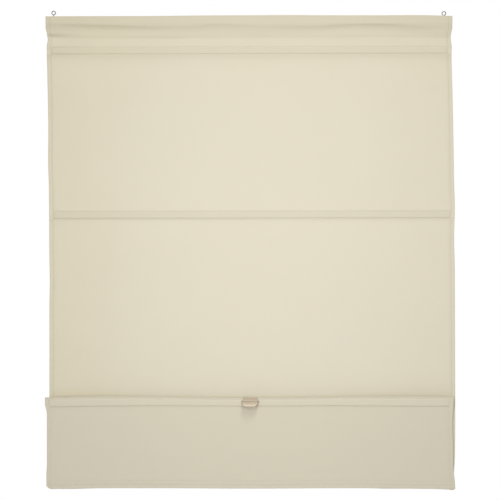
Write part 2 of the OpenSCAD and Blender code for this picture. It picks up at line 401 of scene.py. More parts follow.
def pucker(x, z, seams):
    """Small ripples that a row of stitches draws into the cloth beside it."""
    out = np.zeros(np.broadcast(x, z).shape)
    for seam in seams:
        near = bell((z - seam) / 0.006)
        out = out + near * (np.sin(390 * x + 9 * np.sin(17 * x)) + 0.6 * np.sin(610 * x + 700 * z))
    return 0.00007 * out


def length_of(spine):
    return np.concatenate([[0], np.cumsum(np.linalg.norm(np.diff(spine, axis=0), axis=1))])


def light_tint_at(x, z):
    """A painted warm cast of the light: yellower in the head and towards the sides of the panel."""
    to_sides = 0.75 * smooth((-x - 0.2) / 0.25) + 0.2 * smooth((x - 0.25) / 0.25)
    return np.clip(0.15 + to_sides + 0.45 * smooth((z + 0.3) / 0.2), 0, 1)


def skew(x, z):
    """The pockets run a little up to the right, until the fold draws the cloth level."""
    return 0.0020 * x * (1 - smooth((upper.z - 0.05 - z) / 0.3))


def cloth_length(
    name, points, run, layer_shade, seam, light_tint=0, sewn_tone=1, hem_tone=0.45,
    hem_depth=1, foot_turn=0, first_gap=None, last_gap=None,
):
    """One length of the cloth. Its hems are a second layer on the back, pressed flat where hem_depth is 0.
    Its marks are painted shade where the cloth lies in layers, along seams, hems and the outer edge, and a
    painted warm cast of the light.
    """
    turned = np.maximum(side_hem * hem_depth, foot_turn)
    front = half_t - 0.00015 * hem_stitch
    back = half_t + cloth_t * turned * np.ones((len(run), 1))
    vertices, faces, face_front, face_back, normal = slab(points, front, back, edge_gap, first_gap, last_gap)
    # Painted shade where the cloth lies in layers, the hems included.
    layer_shading = np.clip(layer_shade + 0.65 * hem_tone * side_hem, 0, 1) * np.ones(flat_x.shape)
    # Painted shade along the hem stitching, beside it and at the outer edge.
    hem_seam = sewn_tone * (0.38 * hem_stitch + 0.14 * hem_fade) + hem_tone * hem_edge
    lines = np.clip(seam + hem_seam, 0, 1) * np.ones(flat_x.shape)
    cut = np.stack(np.broadcast_arrays(flat_x, run[:, None]), -1).reshape(-1, 2)
    tints = light_tint * np.ones(layer_shading.shape)
    marks = {"layer_shade": layer_shading, "seam": lines, "light_tint": tints}
    marks = {mark: np.tile(values.ravel(), 2) for mark, values in marks.items()}
    made = piece(name, vertices, faces, cotton, np.tile(cut, (2, 1)), marks)
    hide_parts("cloth")
    return made, face_front, face_back, normal


def placed(x, y, z):
    return np.stack(np.broadcast_arrays(x, y, z), -1).astype(float)


# First length: from the tail of the head hem up the back of the batten, over it and down to the upper
# stave.
wrap_r = batten_r + slack + half_t
batten_y = (batten_hi.y - batten_lo.y) / 2 - batten_r
tail_y = half_t + seat


def wrap_angle(seam_y):
    inward = batten_y - seam_y
    down = batten_lo.z + batten_r - seam_z
    return math.degrees(math.asin(wrap_r / math.hypot(inward, down)) + math.atan2(inward, down))


tunnel = np.concatenate([
    [[tail_y, seam_z - tail_h], [tail_y, seam_z]],
    bend(batten_y, batten_lo.z + batten_r, wrap_r, -wrap_angle(tail_y), 0, 8),
    bend(batten_y, batten_hi.z - batten_r, wrap_r, 0, 90),
    bend(-batten_y, batten_hi.z - batten_r, wrap_r, 90, 180),
    bend(-batten_y, batten_lo.z + batten_r, wrap_r, 180, 180 + wrap_angle(half_t), 6),
    [[-half_t, seam_z]],
])
tunnel = filled(tunnel, 0.0016)
first_foot = upper.z - below_pocket
first_seams = [seam_z] + pocket_seams(header) + pocket_seams(upper)
panel_z = rows_down(seam_z, first_foot, first_seams)[1:]
panel = np.stack([panel_y(panel_z), panel_z], 1)
spine = np.concatenate([tunnel, panel])
in_front = np.arange(len(spine))[:, None] > np.argmax(spine[:, 1])
y = spine[:, :1].copy()
z = spine[:, 1:].copy()
on_panel = (np.arange(len(spine)) >= len(tunnel))[:, None]
y = y - on_panel * (over_stave(z, header) + over_stave(z, upper))
creases = np.array([
    # x, fall below the batten, steepness, reach
    (-0.50, 0.0000, 0.15, 0.0060),
    (-0.46, 0.0000, 0.42, 0.0060),
    (-0.41, 0.0016, 0.74, 0.0055),
    (-0.34, 0.0026, 0.72, 0.0055),
    (-0.25, 0.0062, 0.58, 0.0065),
    (-0.15, 0.0056, 0.24, 0.0080),
    (-0.08, -0.0004, 0.52, 0.0040),
    (0.03, 0.0040, 0.20, 0.0080),
    (0.17, 0.0046, 0.42, 0.0070),
    (0.24, 0.0002, 0.68, 0.0045),
    (0.32, -0.0008, 0.82, 0.0042),
    (0.37, 0.0002, 0.38, 0.0070),
    (0.43, 0.0050, 0.22, 0.0090),
    (0.50, 0.0050, 0.08, 0.0090),
])
soft = bell(np.arange(-8, 9) / 4.0)


def eased(x, values):
    """Values along the width, rounded off where they turn."""
    padded = np.pad(np.interp(flat_x[0], x, values), len(soft) // 2, mode="edge")
    return np.convolve(padded, soft / soft.sum(), "valid")[None, :]


fall, steep, reach = (eased(creases[:, 0], creases[:, k]) for k in (1, 2, 3))
below_batten = batten_lo.z - z
below = np.maximum(below_batten - fall, 0)
kept = 1 - smooth((below_batten - 0.011) / (tunnel_fall - 0.0115))
y = y + in_front * steep * reach * (1 - np.exp(-below / reach)) * kept
sewn_on = np.maximum(in_front, smooth((seam_z + 0.012 - z) / 0.01))
ruck_z = z + 0.0575
ruck = bell(ruck_z / np.where(ruck_z > 0, 0.0045, 0.014)) * sewn_on
y = y + 0.0036 * ruck * bell((flat_x + 0.48) / 0.032)
slack_wave = bell((z + 0.050) / 0.014) * in_front
y = y - slack_wave * (0.0005 * np.sin(26 * flat_x + 1.0) + 0.0003 * np.sin(57 * flat_x))
y = y - on_panel * (sway(flat_x, z) + pucker(flat_x, z, first_seams[1:]))
y = y + on_panel * below_stave(z, header, 0.0020, 0.014, 0.07)
top_of = smooth((z + 0.022) / 0.012)
bow_x = np.array([-0.50, -0.25, -0.17, -0.12, 0.0, 0.07, 0.12, 0.17, 0.32, 0.38, 0.45, 0.48, 0.50])
bow_up = np.array([0.0, 0.0, 0.8, 1.4, 1.8, 2.3, 2.5, 1.9, 2.0, 2.7, 2.6, 1.2, 1.2]) / 1000
bow = eased(bow_x, bow_up) + 0.0007 * (1 - (flat_x / half_w) ** 2)
level = in_front * smooth((batten_lo.z - z) / 0.03)
pinch_u = np.clip((z - seam_z) / 0.026, -1, 1)
pinch = np.where(flat_x < 0, -0.0044, 0.0032) * np.exp(-edge_gap / 0.06)
pinch = pinch * np.cos(math.pi / 2 * pinch_u) ** 2
nudge = 0.0014 * bell((z + 0.089) / 0.013) - 0.0012 * bell((z + 0.0565) / 0.005)
nudge = nudge * smooth((-flat_x - 0.40) / 0.08)
sideways = drift(z) + swerve(z) + nudge - pinch
points = placed(flat_x * spread(z) + sideways, y, z + top_of * bow + level * skew(flat_x, z))
run = length_of(spine)
# Painted shade: the head is darker where the cloth lies in layers round the batten and over the pockets, and
# just below the header pocket.
layer_shade = 0.2 + 0.6 * smooth((z - seam_z + tail_h) / 0.011)
layer_shade = np.where(in_front, layer_shade, 0.8)
layer_shade = layer_shade * (1 - on_panel * smooth((header.z + 0.008 - z) / 0.012))
layer_shade = np.maximum(layer_shade, on_panel * 0.6 * np.maximum(in_pocket(z, header), in_pocket(z, upper)))
under_header = header.z - seam_off - z
layer_shade = np.maximum(layer_shade, on_panel * (under_header > 0) * 0.5 * np.exp(-under_header / 0.012))
# Painted shade along the pocket seams, stronger towards the left of the header pocket, and along the top of
# the head.
header_shade = 0.13 + 0.37 * smooth((-flat_x - 0.38) / 0.08)
seam = on_panel * (header_shade * near_seams(z, header) + 0.28 * near_seams(z, upper))
seam = seam + 0.35 * in_front * smooth((z - batten_hi.z + 0.0035) / 0.002)
cloth_head, head_front, head_back, head_out = cloth_length(
    "cloth_head", points, run, layer_shade, seam, light_tint_at(flat_x, z), first_gap=run[:, None]
)
head_rows = spine
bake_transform(cloth_head)

# Second length: the panel between the upper stave and the hidden middle stave.
middle_foot = middle.z - below_pocket
panel_z = rows_down(first_foot, middle_foot, pocket_seams(middle) + [upper.z - seam_off])
spine = np.stack([panel_y(panel_z), panel_z], 1)
z = spine[:, 1:]
y = spine[:, :1] - over_stave(z, upper) - over_stave(z, middle) - sway(flat_x, z)
y = y + below_stave(z, upper, 0.0006, 0.009, 0.05)
y = y - pucker(flat_x, z, pocket_seams(middle) + pocket_seams(upper))
points = placed(flat_x * spread(z) + drift(z) + swerve(z), y, z + skew(flat_x, z))
panel_run = run[-1] + length_of(spine)
# Painted shade over the pockets, where the cloth lies in layers.
layer_shade = 0.6 * np.maximum(in_pocket(z, middle), in_pocket(z, upper))
# Painted shade along the pocket seams.
seam = 0.28 * (near_seams(z, middle) + near_seams(z, upper))
cloth_middle, middle_front, middle_back, middle_out = cloth_length(
    "cloth_middle", points, panel_run, layer_shade, seam, light_tint_at(flat_x, z)
)
middle_rows = spine
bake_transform(cloth_middle)

# Third length: the loop behind the skirt, the layer that rises in it, the fold over the lift stave and the
# skirt. The rising layer peeks out on the right of the skirt.
loop_back_y = panel_y(loop_z)
loop_front_y = loop_back_y - 2 * loop_r
back_z = rows_down(middle_foot, loop_z, [middle.z - seam_off], 0.009)
back_rows = np.stack([panel_y(back_z), back_z], 1)
loop_rows = bend(loop_back_y - loop_r, loop_z, loop_r, 0, -180, 16)
rise = np.linspace(0, 1, 30)
rise_rows = np.stack([
    loop_front_y + (fold_back_y - loop_front_y) * (0.5 - np.sin(np.arcsin(1 - 2 * rise) / 3)),
    loop_z + (fold_z - loop_z) * rise,
], 1)
fold_rows = bend(fold_back_y - fold_r, fold_z, fold_r, 0, 180, 16)
foot_line = skirt_foot + foot_hem
press_line = skirt_foot + press_up
skirt_z = rows_down(fold_z, skirt_foot, pocket_seams(lift) + [foot_line, press_line, skirt_foot])
skirt_rows = np.stack([skirt_y + skirt_tuck * smooth((lift.z - skirt_z) / (lift.z - skirt_foot)), skirt_z], 1)
spine = np.concatenate([back_rows, loop_rows[1:], rise_rows[1:], fold_rows[1:], skirt_rows[1:]])
first_rise = len(back_rows) + len(loop_rows) - 1
first_fold = first_rise + len(rise_rows) - 1
first_skirt = first_fold + len(fold_rows) - 1
row = np.arange(len(spine))[:, None]
y = spine[:, :1].copy()
z = spine[:, 1:].copy()
is_back = row < len(back_rows)
is_skirt = row >= first_skirt
in_fold = row >= first_fold
y = y - is_back * over_stave(z, middle) - is_skirt * over_stave(z, lift)
skirt_seams = pocket_seams(lift) + [foot_line, press_line]
y = y - is_skirt * (pucker(flat_x, z, skirt_seams) - 0.0002 * bell((z - press_line) / 0.001))
hang = smooth((lift.z - 0.02 - z) / 0.12)
y = y - is_skirt * hang * 0.0007 * (np.sin(8 * flat_x + 1.2) + 0.6 * np.sin(19 * flat_x + 12 * z))
skirt_shift = 0.0013
narrow = np.where(in_fold, 1.0, spread(z))
sideways = np.where(in_fold, skirt_shift, drift(z))
risen = np.clip((row - first_rise) / (first_fold - first_rise), 0, 1)
climb = smooth(risen)
rising = (row >= first_rise) & (row < first_fold)
below_crest = fold_top - z
beside_skirt = right_side * smooth((below_crest - 0.010) / 0.03)
peeks_out = np.maximum(1 - climb, beside_skirt)
rising_shift = skirt_shift + peeks_out * (drift(z) - skirt_shift) - 0.0012 * beside_skirt
sideways = np.where(rising, rising_shift, sideways)
narrow = np.where(rising, 1 + peeks_out * (spread(z) - 1), narrow)
at_left = np.exp(-(flat_x + half_w) / 0.07)
tucked = (is_skirt | rising) * 0.0048 * smooth((below_crest - 0.014) / 0.026) * at_left
loop_reach = 0.07
low_loop = smooth((loop_z + loop_reach - z) / loop_reach) * ~in_fold
sag = 0.0018 * smooth((-flat_x - 0.36) / 0.09)
sag = sag + 0.0011 * smooth((flat_x - 0.28) / 0.05) + 0.0024 * smooth((flat_x - 0.43) / 0.065)
corner_w = 0.0085
turned_up = 0.0064 * np.clip((corner_w - flat_x - half_w) / corner_w, 0, 1) ** 1.3
sag = sag - turned_up
droop = in_fold * smooth((z - lift.z + 0.06) / 0.05) * 0.0017 * smooth((-flat_x - 0.38) / 0.12)
crest_wave = -0.0003 - 0.0019 * np.cos(2 * math.pi * flat_x / 0.72)
seam_wave = -0.0005 * np.cos(2 * math.pi * flat_x / 0.4) - 0.0004 * smooth((np.abs(flat_x) - 0.3) / 0.15)
foot_wave = -0.0006 * np.cos(2 * math.pi * flat_x / 0.5) - 0.0010 * smooth((flat_x - 0.33) / 0.1)
pocket_foot = lift.z - seam_off
to_seam = smooth(below_crest / (fold_top - pocket_foot))
to_foot = smooth((pocket_foot - z) / (pocket_foot - skirt_foot))
wave = (1 - to_seam) * crest_wave + to_seam * ((1 - to_foot) * seam_wave + to_foot * foot_wave)
wave = in_fold * wave + rising * climb ** 6 * crest_wave
corner_h = 0.04
wave = wave + is_skirt * turned_up * smooth((skirt_foot + corner_h - z) / corner_h)
hem_course = 0.0016 * smooth((below_crest - 0.086) / 0.025) + 0.0049 * smooth((below_crest - 0.156) / 0.07)
hem_course = hem_course - 0.0026 * smooth((below_crest - 0.012) / 0.044)
eased_out = is_skirt * hem_course * right_side
flare_top = -1.105
flared = is_skirt * 0.0014 * smooth((flare_top - z) / 0.03) * left_side
drawn_top = -1.09
drawn_in = ~in_fold * 0.0021 * smooth((drawn_top - z) / 0.045) * smooth((flat_x - 0.35) / 0.14)
sideways = sideways + tucked + eased_out - flared - drawn_in
points = placed(flat_x * narrow + sideways, y, z - low_loop * sag - droop + wave)
fold_run = panel_run[-1] + length_of(spine)
# Painted shade over the fold and the skirt, where the cloth lies in layers, a little less over the lift
# pocket.
layer_shade = np.where(in_fold, 0.85, 0.0) * np.ones_like(z)
layer_shade = layer_shade - is_skirt * 0.1 * in_pocket(z, lift)
# Painted shade along the lift pocket's seams and the foot hem's stitching, and over the crest of the fold.
seam = is_skirt * near_seams(z, lift, seam_off) * np.where(z > lift.z, 0.1, 0.7)
seam = seam + 0.5 * is_back * near_seams(z, middle)
line_w = 0.0014
seam = seam + is_skirt * (0.2 * bell((z - foot_line) / line_w) + 0.4 * bell((z - press_line) / line_w))
seam = seam + in_fold * smooth((z - fold_top + 0.0045) / 0.003)
last_gap = (fold_run[-1] - fold_run)[:, None]
hem_depth = 1 - smooth(risen / 0.12) * smooth((1 - risen) / 0.12)
foot_turn = smooth((foot_hem + 0.0004 - last_gap) / 0.0008)
sewn_tone = np.where(in_fold, 0.4, 1)
cloth_fold, fold_front, fold_back, fold_out = cloth_length(
    "cloth_fold", points, fold_run, layer_shade, seam, sewn_tone=sewn_tone, hem_tone=0.2 * in_fold,
    hem_depth=hem_depth, foot_turn=foot_turn, last_gap=last_gap,
)
fold_blend = ("middle", "lift", (0, loop_front_y - 0.00045, 0), (0, fold_back_y + 0.00045, 0))
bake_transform(cloth_fold)

# The pocket tapes: four strips of off-white woven cotton, sewn to the back of the cloth along both edges
# and left loose between the seams, so that a stave slides in from the side.
tape_t = 0.0006
tape_pale = (0.815, 0.770, 0.660, 1)
# Painted shade of the tape, for its loose part over a stave.
tape_layer_shade = (0.760, 0.710, 0.595, 1)
# Painted shade of the tape, along its stitching.
tape_seam = (0.640, 0.590, 0.480, 1)
tape_dark = (0.745, 0.690, 0.560, 1)
tape_weave = woven("tape", 0.0006, tape_pale, tape_layer_shade, tape_seam, tape_dark)
stave_t = 0.003
tape_raised = stave_t + 2 * slack - pocket_bulge + tape_t / 2
tape_flat = seat + tape_t / 2
tape_edge = seam_off + tape_margin
tape_rows = rows_down(tape_edge, -tape_edge, [seam_off, -seam_off], 0.001)
tape_x = rimmed(-tape_half, tape_half, 5, 0.002, 170)[None, :]
for name, body, stave, tilt in (
    ("header_tape", "head", header, lean),
    ("upper_tape", "upper", upper, lean),
    ("middle_tape", "middle", middle, lean),
    ("lift_tape", "lift", lift, 0.0),
):
    h = tape_rows[:, None]
    loose = smooth((seam_off - np.abs(h)) / 0.0015)
    depth = tape_flat + (tape_raised - tape_flat) * loose
    depth = depth + 0.00008 * np.sin(390 * tape_x + 9 * np.sin(17 * tape_x)) * (1 - loose)
    size = math.hypot(1, tilt)
    base_y = skirt_y if tilt == 0 else panel_y(stave.z)
    tape_y = base_y + (h * tilt + half_t + depth) / size
    tape_z = stave.z + (h - (half_t + depth) * tilt) / size
    shift = 0 if tilt == 0 else drift(stave.z)
    points = placed(tape_x + shift, tape_y, tape_z)
    tape_run = length_of(np.stack([depth.mean(1), tape_rows], 1))
    from_top = tape_run[:, None]
    side_gap = tape_half - np.abs(tape_x)
    vertices, faces = slab(points, tape_t / 2, tape_t / 2, side_gap, from_top, tape_run[-1] - from_top)[:2]
    cut = np.stack(np.broadcast_arrays(tape_x, from_top), -1).reshape(-1, 2)
    # Painted shade along the tape's stitching.
    tape_stitch_shade = bell((np.abs(h) - seam_off) / 0.0007) * np.ones(tape_x.shape)
    # Painted shade on the loose part of the tape over the stave, and along its stitching.
    marks = {"layer_shade": 0.4 * loose * np.ones(tape_x.shape), "seam": 0.7 * tape_stitch_shade}
    marks = {mark: np.tile(values, (2, 1)) for mark, values in marks.items()}
    strip = piece(name + "_strip", vertices, faces, tape_weave, np.tile(cut, (2, 1)), marks)
    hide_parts(name)
    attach(strip, body)

# The sewing: lockstitch in cream thread along the pockets and the hems. Each stitch lies on the cloth and
# dips into it at both ends; the seams through a tape show on both sides, the blind head seam at the back.
thread_cream = (0.800, 0.745, 0.600, 1)
thread_shade = (0.600, 0.540, 0.410, 1)
thread, shade, skin = finish("thread", 0.8)
spot = shade.node("TexCoord", out=3)
twisted = {"Vector": spot, "Scale": 900.0, "Distortion": 0.5}
twist = shade.node("TexWave", {"bands_direction": "DIAGONAL"}, twisted)
(twist * 0.5).blend(thread_cream, thread_shade).feeds(skin.inputs["Base Color"])
raise_skin(skin, twist, 0.5, 0.0001)
skin.inputs["Specular IOR Level"].default_value = 0.3
stitch_pitch = 0.0032
stitch_l = 0.0026
stitch_r = 0.00021
stitch_sides = 5
stitch_steps = np.array([0, 0.2, 0.5, 0.8, 1])
stitch_arch = np.array([-0.00022, 0.0001, 0.00018, 0.0001, -0.00022])


def stitches(points, outward):
    """Vertices and faces of a row of stitches along a line on the cloth."""
    run = length_of(points)
    start = np.arange(0.0012, run[-1] - stitch_pitch, stitch_pitch)
    at = start[:, None] + stitch_l * stitch_steps
    line = np.stack([np.interp(at, run, points[:, k]) for k in range(3)], -1)
    out = np.stack([np.interp(at, run, outward[:, k]) for k in range(3)], -1)
    line = line + stitch_arch[None, :, None] * out
    along = line[:, -1:] - line[:, :1]
    along /= np.linalg.norm(along, axis=2, keepdims=True)
    side = np.cross(along, out)
    turn = np.linspace(0, 2 * math.pi, stitch_sides + 1)[:-1, None]
    ring = np.cos(turn) * side[:, :, None, :] + np.sin(turn) * out[:, :, None, :]
    vertices = (line[:, :, None, :] + stitch_r * ring).reshape(-1, 3)
    index = np.arange(len(vertices)).reshape(len(start), len(stitch_steps), stitch_sides)
    after = np.roll(index, -1, axis=2)
    quads = np.stack([index[:, :-1], after[:, :-1], after[:, 1:], index[:, 1:]], -1)
    return vertices, quads.reshape(-1, 4).tolist()


def joined(parts):
    """One set of vertices and faces from several."""
    vertices, faces, count = [], [], 0
    for part_vertices, part_faces in parts:
        vertices.append(part_vertices)
        faces += [[corner + count for corner in face] for face in part_faces]
        count += len(part_vertices)
    return np.concatenate(vertices), faces


def sewing(name, lines):
    """A piece of its own for all the stitches of one length of the cloth."""
    vertices, faces = joined(stitches(points, outward) for points, outward in lines)
    tape_stitch_shade = piece(name, vertices, faces, thread)
    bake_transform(tape_stitch_shade)


def seam_lines(rows, front, back, out, heights, first, tape):
    """Both sides of straight seams at given heights, between the hems, from the row first."""
    lines = []
    for height in heights:
        i = first + int(np.argmin(np.abs(rows[first:, 1] - height)))
        outward = out[i, between_hems]
        lines.append((front[i, between_hems], -outward))
        lines.append((back[i, between_hems] + tape * outward, outward))
    return lines


def hem_lines(front, back, out, first=0):
    """Both sides of the seams that hold the side hems, from the row first."""
    lines = []
    for j in (hem_column, flat_x.shape[1] - 1 - hem_column):
        lines.append((front[first:, j], -out[first:, j]))
        lines.append((back[first:, j], out[first:, j]))
    return lines


first_panel = len(tunnel)
through_tape = tape_t + seat
tail_row = 2
head_faces = (head_front, head_back, head_out)
lines = [(head_front[tail_row, between_hems], -head_out[tail_row, between_hems])]
lines += seam_lines(head_rows, *head_faces, first_seams[1:], first_panel, through_tape)
sewing("sewing_head", lines + hem_lines(*head_faces, first_panel))
middle_faces = (middle_front, middle_back, middle_out)
lines = seam_lines(middle_rows, *middle_faces, pocket_seams(middle), 0, through_tape)
sewing("sewing_middle", lines + hem_lines(*middle_faces))
fold_faces = (fold_front, fold_back, fold_out)
lines = seam_lines(spine, *fold_faces, pocket_seams(lift), first_skirt, through_tape)
lines += seam_lines(spine, *fold_faces, [foot_line, press_line], first_skirt, 0)
sewing("sewing_fold", lines + hem_lines(*fold_faces))

# The staves: four flat glass-fibre strips with round edges, pulled through a die, so fine fibres run along
# them. They slide into the pockets and keep the cloth straight across.
stave_pale = (0.800, 0.795, 0.750, 1)
stave_fibre = (0.660, 0.650, 0.585, 1)
stave_finish, shade, skin = finish("stave_plastic", 0.45)
spot = shade.node("TexCoord", out=3)
along = shade.node("VectorMath", {"operation": "MULTIPLY"}, {0: spot, 1: (14.0, 1800.0, 1800.0)})
fibre = shade.node("TexNoise", inputs={"Vector": along, "Scale": 1.0, "Detail": 3.0})
(fibre ** 2.0).blend(stave_pale, stave_fibre).feeds(skin.inputs["Base Color"])
(0.36 + 0.25 * fibre).feeds(skin.inputs["Roughness"])
raise_skin(skin, fibre, 0.2, 0.0002)


def dress(name, material):
    """Gives a CAD piece that stays as it is its material."""
    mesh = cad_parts[name].data
    mesh.materials.clear()
    mesh.materials.append(material)


for name in ("header_stave", "upper_stave", "middle_stave", "lift_stave"):
    dress(name, stave_finish)

# The head batten: a planed strip of pale softwood with its long edges rounded over, sawn to length. The
# eyes are screwed into its upper edge, and growth rings show on its ends.
wood_early = (0.620, 0.430, 0.235, 1)
wood_late = (0.400, 0.235, 0.105, 1)
wood_finish, shade, skin = finish("batten_wood", 0.6)
spot = shade.node("TexCoord", out=3)
waver = shade.node("TexNoise", inputs={"Vector": spot, "Scale": 5.0, "Detail": 2.0})
across = shade.node("SeparateXYZ", inputs={0: spot}, out=1)
upward = shade.node("SeparateXYZ", inputs={0: spot}, out=2)
from_heart = shade.maths("SQRT", (across + 0.045) ** 2.0 + (upward + 0.055) ** 2.0, 0.0)
rings = 0.5 + 0.5 * shade.maths("SINE", from_heart * 2600.0 + waver * 16.0, 0.0)
long_grain = shade.node("VectorMath", {"operation": "MULTIPLY"}, {0: spot, 1: (10.0, 900.0, 900.0)})
pores = shade.node("TexNoise", inputs={"Vector": long_grain, "Scale": 1.0, "Detail": 4.0})
(rings ** 2.0 * 0.7 + pores * 0.3).blend(wood_early, wood_late).feeds(skin.inputs["Base Color"])
(0.5 + 0.25 * pores).feeds(skin.inputs["Roughness"])
raise_skin(skin, pores, 0.3, 0.0003)
dress("head_batten", wood_finish)

# The screw eyes: zinc-plated steel wire, bent round into a ring above a pointed shank and screwed into the
# batten through the cloth. The right one is less round and sits a little deeper.
wire_r = 0.0013
ring_r = 0.0045
eye_bite = 0.013
ring_start = -82
ring_stop = 262
coil_pitch = 0.0004
point_r = 0.0003
point_l = 0.0036
rod_sides = 18
zinc_light = (0.330, 0.320, 0.318, 1)
zinc_dull = (0.170, 0.162, 0.160, 1)
zinc_finish, shade, skin = finish("zinc_wire", 0.35)
skin.inputs["Metallic"].default_value = 0.9
spot = shade.node("TexCoord", out=3)
bloom = shade.node("TexNoise", inputs={"Vector": spot, "Scale": 700.0, "Detail": 4.0})
bloom.blend(zinc_light, zinc_dull).feeds(skin.inputs["Base Color"])
(0.25 + 0.3 * bloom).feeds(skin.inputs["Roughness"])
raise_skin(skin, bloom, 0.15, 0.0001)


def rod(path, radii):
    """Vertices and faces of a round bar along a path, closed at both ends."""
    heading = np.gradient(path, axis=0)
    heading /= np.linalg.norm(heading, axis=1, keepdims=True)
    side = np.cross(heading[0], [0.3, 1, 0.2])
    rings_at = []
    turn = np.linspace(0, 2 * math.pi, rod_sides + 1)[:-1, None]
    for centre, ahead, radius in zip(path, heading, np.broadcast_to(radii, len(path))):
        side = side - ahead * (side @ ahead)
        side = side / np.linalg.norm(side)
        other = np.cross(ahead, side)
        rings_at.append(centre + radius * (np.cos(turn) * side + np.sin(turn) * other))
    vertices = np.concatenate(rings_at + [path[:1], path[-1:]])
    first = len(path) * rod_sides
    index = np.arange(first).reshape(len(path), rod_sides)
    after = np.roll(index, -1, axis=1)
    quads = np.stack([index[:-1], after[:-1], after[1:], index[1:]], -1).reshape(-1, 4).tolist()
    caps = [[first, b, a] for a, b in zip(index[0].tolist(), after[0].tolist())]
    caps += [[first + 1, a, b] for a, b in zip(index[-1].tolist(), after[-1].tolist())]
    return vertices, quads + caps


for name, gap, squeeze, sink in (("screw_eye_left", 10, 0.0, 0.0), ("screw_eye_right", 14, 0.028, 0.0008)):
    eye = centre_of(name)
    ring_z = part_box(name)[1].z - wire_r - ring_r - sink
    shank_foot = batten_hi.z - eye_bite
    stem = np.linspace(shank_foot, ring_z - ring_r - 0.0009, 30)
    around = np.radians(np.linspace(ring_start, ring_stop - gap, 60))
    reach = ring_r * (1 + squeeze * np.cos(6 * around))
    ring = placed(reach * np.cos(around), coil_pitch * around - 0.0006, reach * np.sin(around))
    shank = placed(0, 0, stem - ring_z)
    path = np.concatenate([shank, ring]) + [eye.x, eye.y, ring_z]
    taper = np.interp(stem, [shank_foot, shank_foot + point_l], [point_r, wire_r])
    thread_turn = 1 + 0.1 * np.sin(np.arange(len(stem)) * 2.1) * (stem < batten_hi.z - 0.002)
    end_round = np.ones(len(ring))
    end_round[-3:] = [0.95, 0.8, 0.45]
    vertices, faces = rod(path, np.concatenate([taper * thread_turn, wire_r * end_round]))
    wire = piece(name + "_wire", vertices, faces, zinc_finish)
    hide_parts(name)
    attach(wire, "head")

# The pull: moulded beige plastic. A flat plate is pinned through the cloth to the lift stave, and a wider
# lip swings out of it to a rounded rim, which the fingers hook behind.
pull_lo, pull_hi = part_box("handle")
pull_x = (pull_lo.x + pull_hi.x) / 2
pull_y = skirt_y - half_t - pocket_bulge
plate_half = 0.0175
plate_h = 0.0205
pull_t = 0.0026
neck_h = 0.0075
lip_h = 0.0139
lip_bend_r = 0.007
lip_angle = 52
bend_rise = 0.0011
rim_r = 0.002
ear_r = 0.0025
ear_half = 0.022
foot_half = 0.0057
curve_w = 0.0138
curve_h = 0.0062
pin_r = 0.0015
pin_half = 0.009
lip_columns = 41
beige = (0.540, 0.438, 0.313, 1)
beige_dull = (0.485, 0.390, 0.272, 1)
# Painted highlight for the lip and rim, where light from above falls.
beige_highlight = (0.740, 0.640, 0.515, 1)
# Painted shade for the bend, the ears and the right end of the lip.
beige_shade = (0.330, 0.265, 0.180, 1)
pull_finish, shade, skin = finish("pull_plastic", 0.42)
spot = shade.node("TexCoord", out=3)
flow = shade.node("TexNoise", inputs={"Vector": spot, "Scale": 90.0, "Detail": 3.0})
grain = shade.node("TexNoise", inputs={"Vector": spot, "Scale": 2600.0, "Detail": 2.0})
# Painted highlight on the lip and rim.
painted_highlight = shade.node("Attribute", {"attribute_name": "painted_highlight"}, out=2)
# Painted shade in the bend, on the ears and at the right end of the lip.
pull_shade = shade.node("Attribute", {"attribute_name": "pull_shade"}, out=2)
highlit_tone = painted_highlight.blend(flow.blend(beige, beige_dull), beige_highlight)
pull_shade.blend(highlit_tone, beige_shade).feeds(skin.inputs["Base Color"])
(0.36 + 0.16 * grain).feeds(skin.inputs["Roughness"])
raise_skin(skin, grain, 0.25, 0.00015)

plate_y = -seat - pull_t / 2
bend_z = bend_rise - neck_h
foot_z = -neck_h - lip_h
swing = bend(plate_y - lip_bend_r, bend_z, lip_bend_r, 0, -lip_angle, 14)
slope = math.tan(math.radians(lip_angle))
straight_z = np.linspace(swing[-1, 1], foot_z + 0.0002, 26)[1:]
straight = np.stack([swing[-1, 0] - (swing[-1, 1] - straight_z) * slope, straight_z], 1)
lip_rows = filled(np.concatenate([[[plate_y + 0.0008, bend_z + 0.004]], swing, straight]), 0.0006)


def lip_half(z):
    """Half the lip's width at a height: round ears, sides that close in, a foot curved like a boat."""
    ear_z = -neck_h - ear_r
    curve_z = foot_z + curve_h
    if z > -neck_h:
        return plate_half
    if z > ear_z:
        return ear_half - ear_r + math.sqrt(ear_r ** 2 - (z - ear_z) ** 2)
    if z > curve_z:
        return ear_half + (foot_half + curve_w - ear_half) * (ear_z - z) / (ear_z - curve_z)
    return foot_half + curve_w * math.sqrt(1 - ((curve_z - z) / curve_h) ** 2)


lip_u = np.sin(np.linspace(-math.pi / 2, math.pi / 2, lip_columns))[None, :]
widths = np.array([lip_half(z) for z in lip_rows[:, 1]])[:, None]
askew = -0.0012 * smooth((-neck_h - lip_rows[:, 1:]) / lip_h)
points = placed(lip_u * widths + askew, lip_rows[:, :1], lip_rows[:, 1:])
lip_run = length_of(lip_rows)
lip_vertices, lip_faces = slab(
    points, pull_t / 2, pull_t / 2, (1 - np.abs(lip_u)) * widths, None, (lip_run[-1] - lip_run)[:, None]
)[:2]
plate_rows = rimmed(0, plate_h, 5, 0.0016, 12)[:, None]
plate_u = rimmed(-plate_half, plate_half, 5, 0.002, 24)[None, :]
plate_corner = 0.0012 * (1 - smooth(plate_rows / 0.002))
points = placed(plate_u * (1 - plate_corner / plate_half), plate_y, -plate_rows)
plate_vertices, plate_faces = slab(
    points, pull_t / 2, pull_t / 2, plate_half - np.abs(plate_u), plate_rows, plate_h - plate_rows
)[:2]
rim_turn = np.radians(np.linspace(-6, -90, 16))
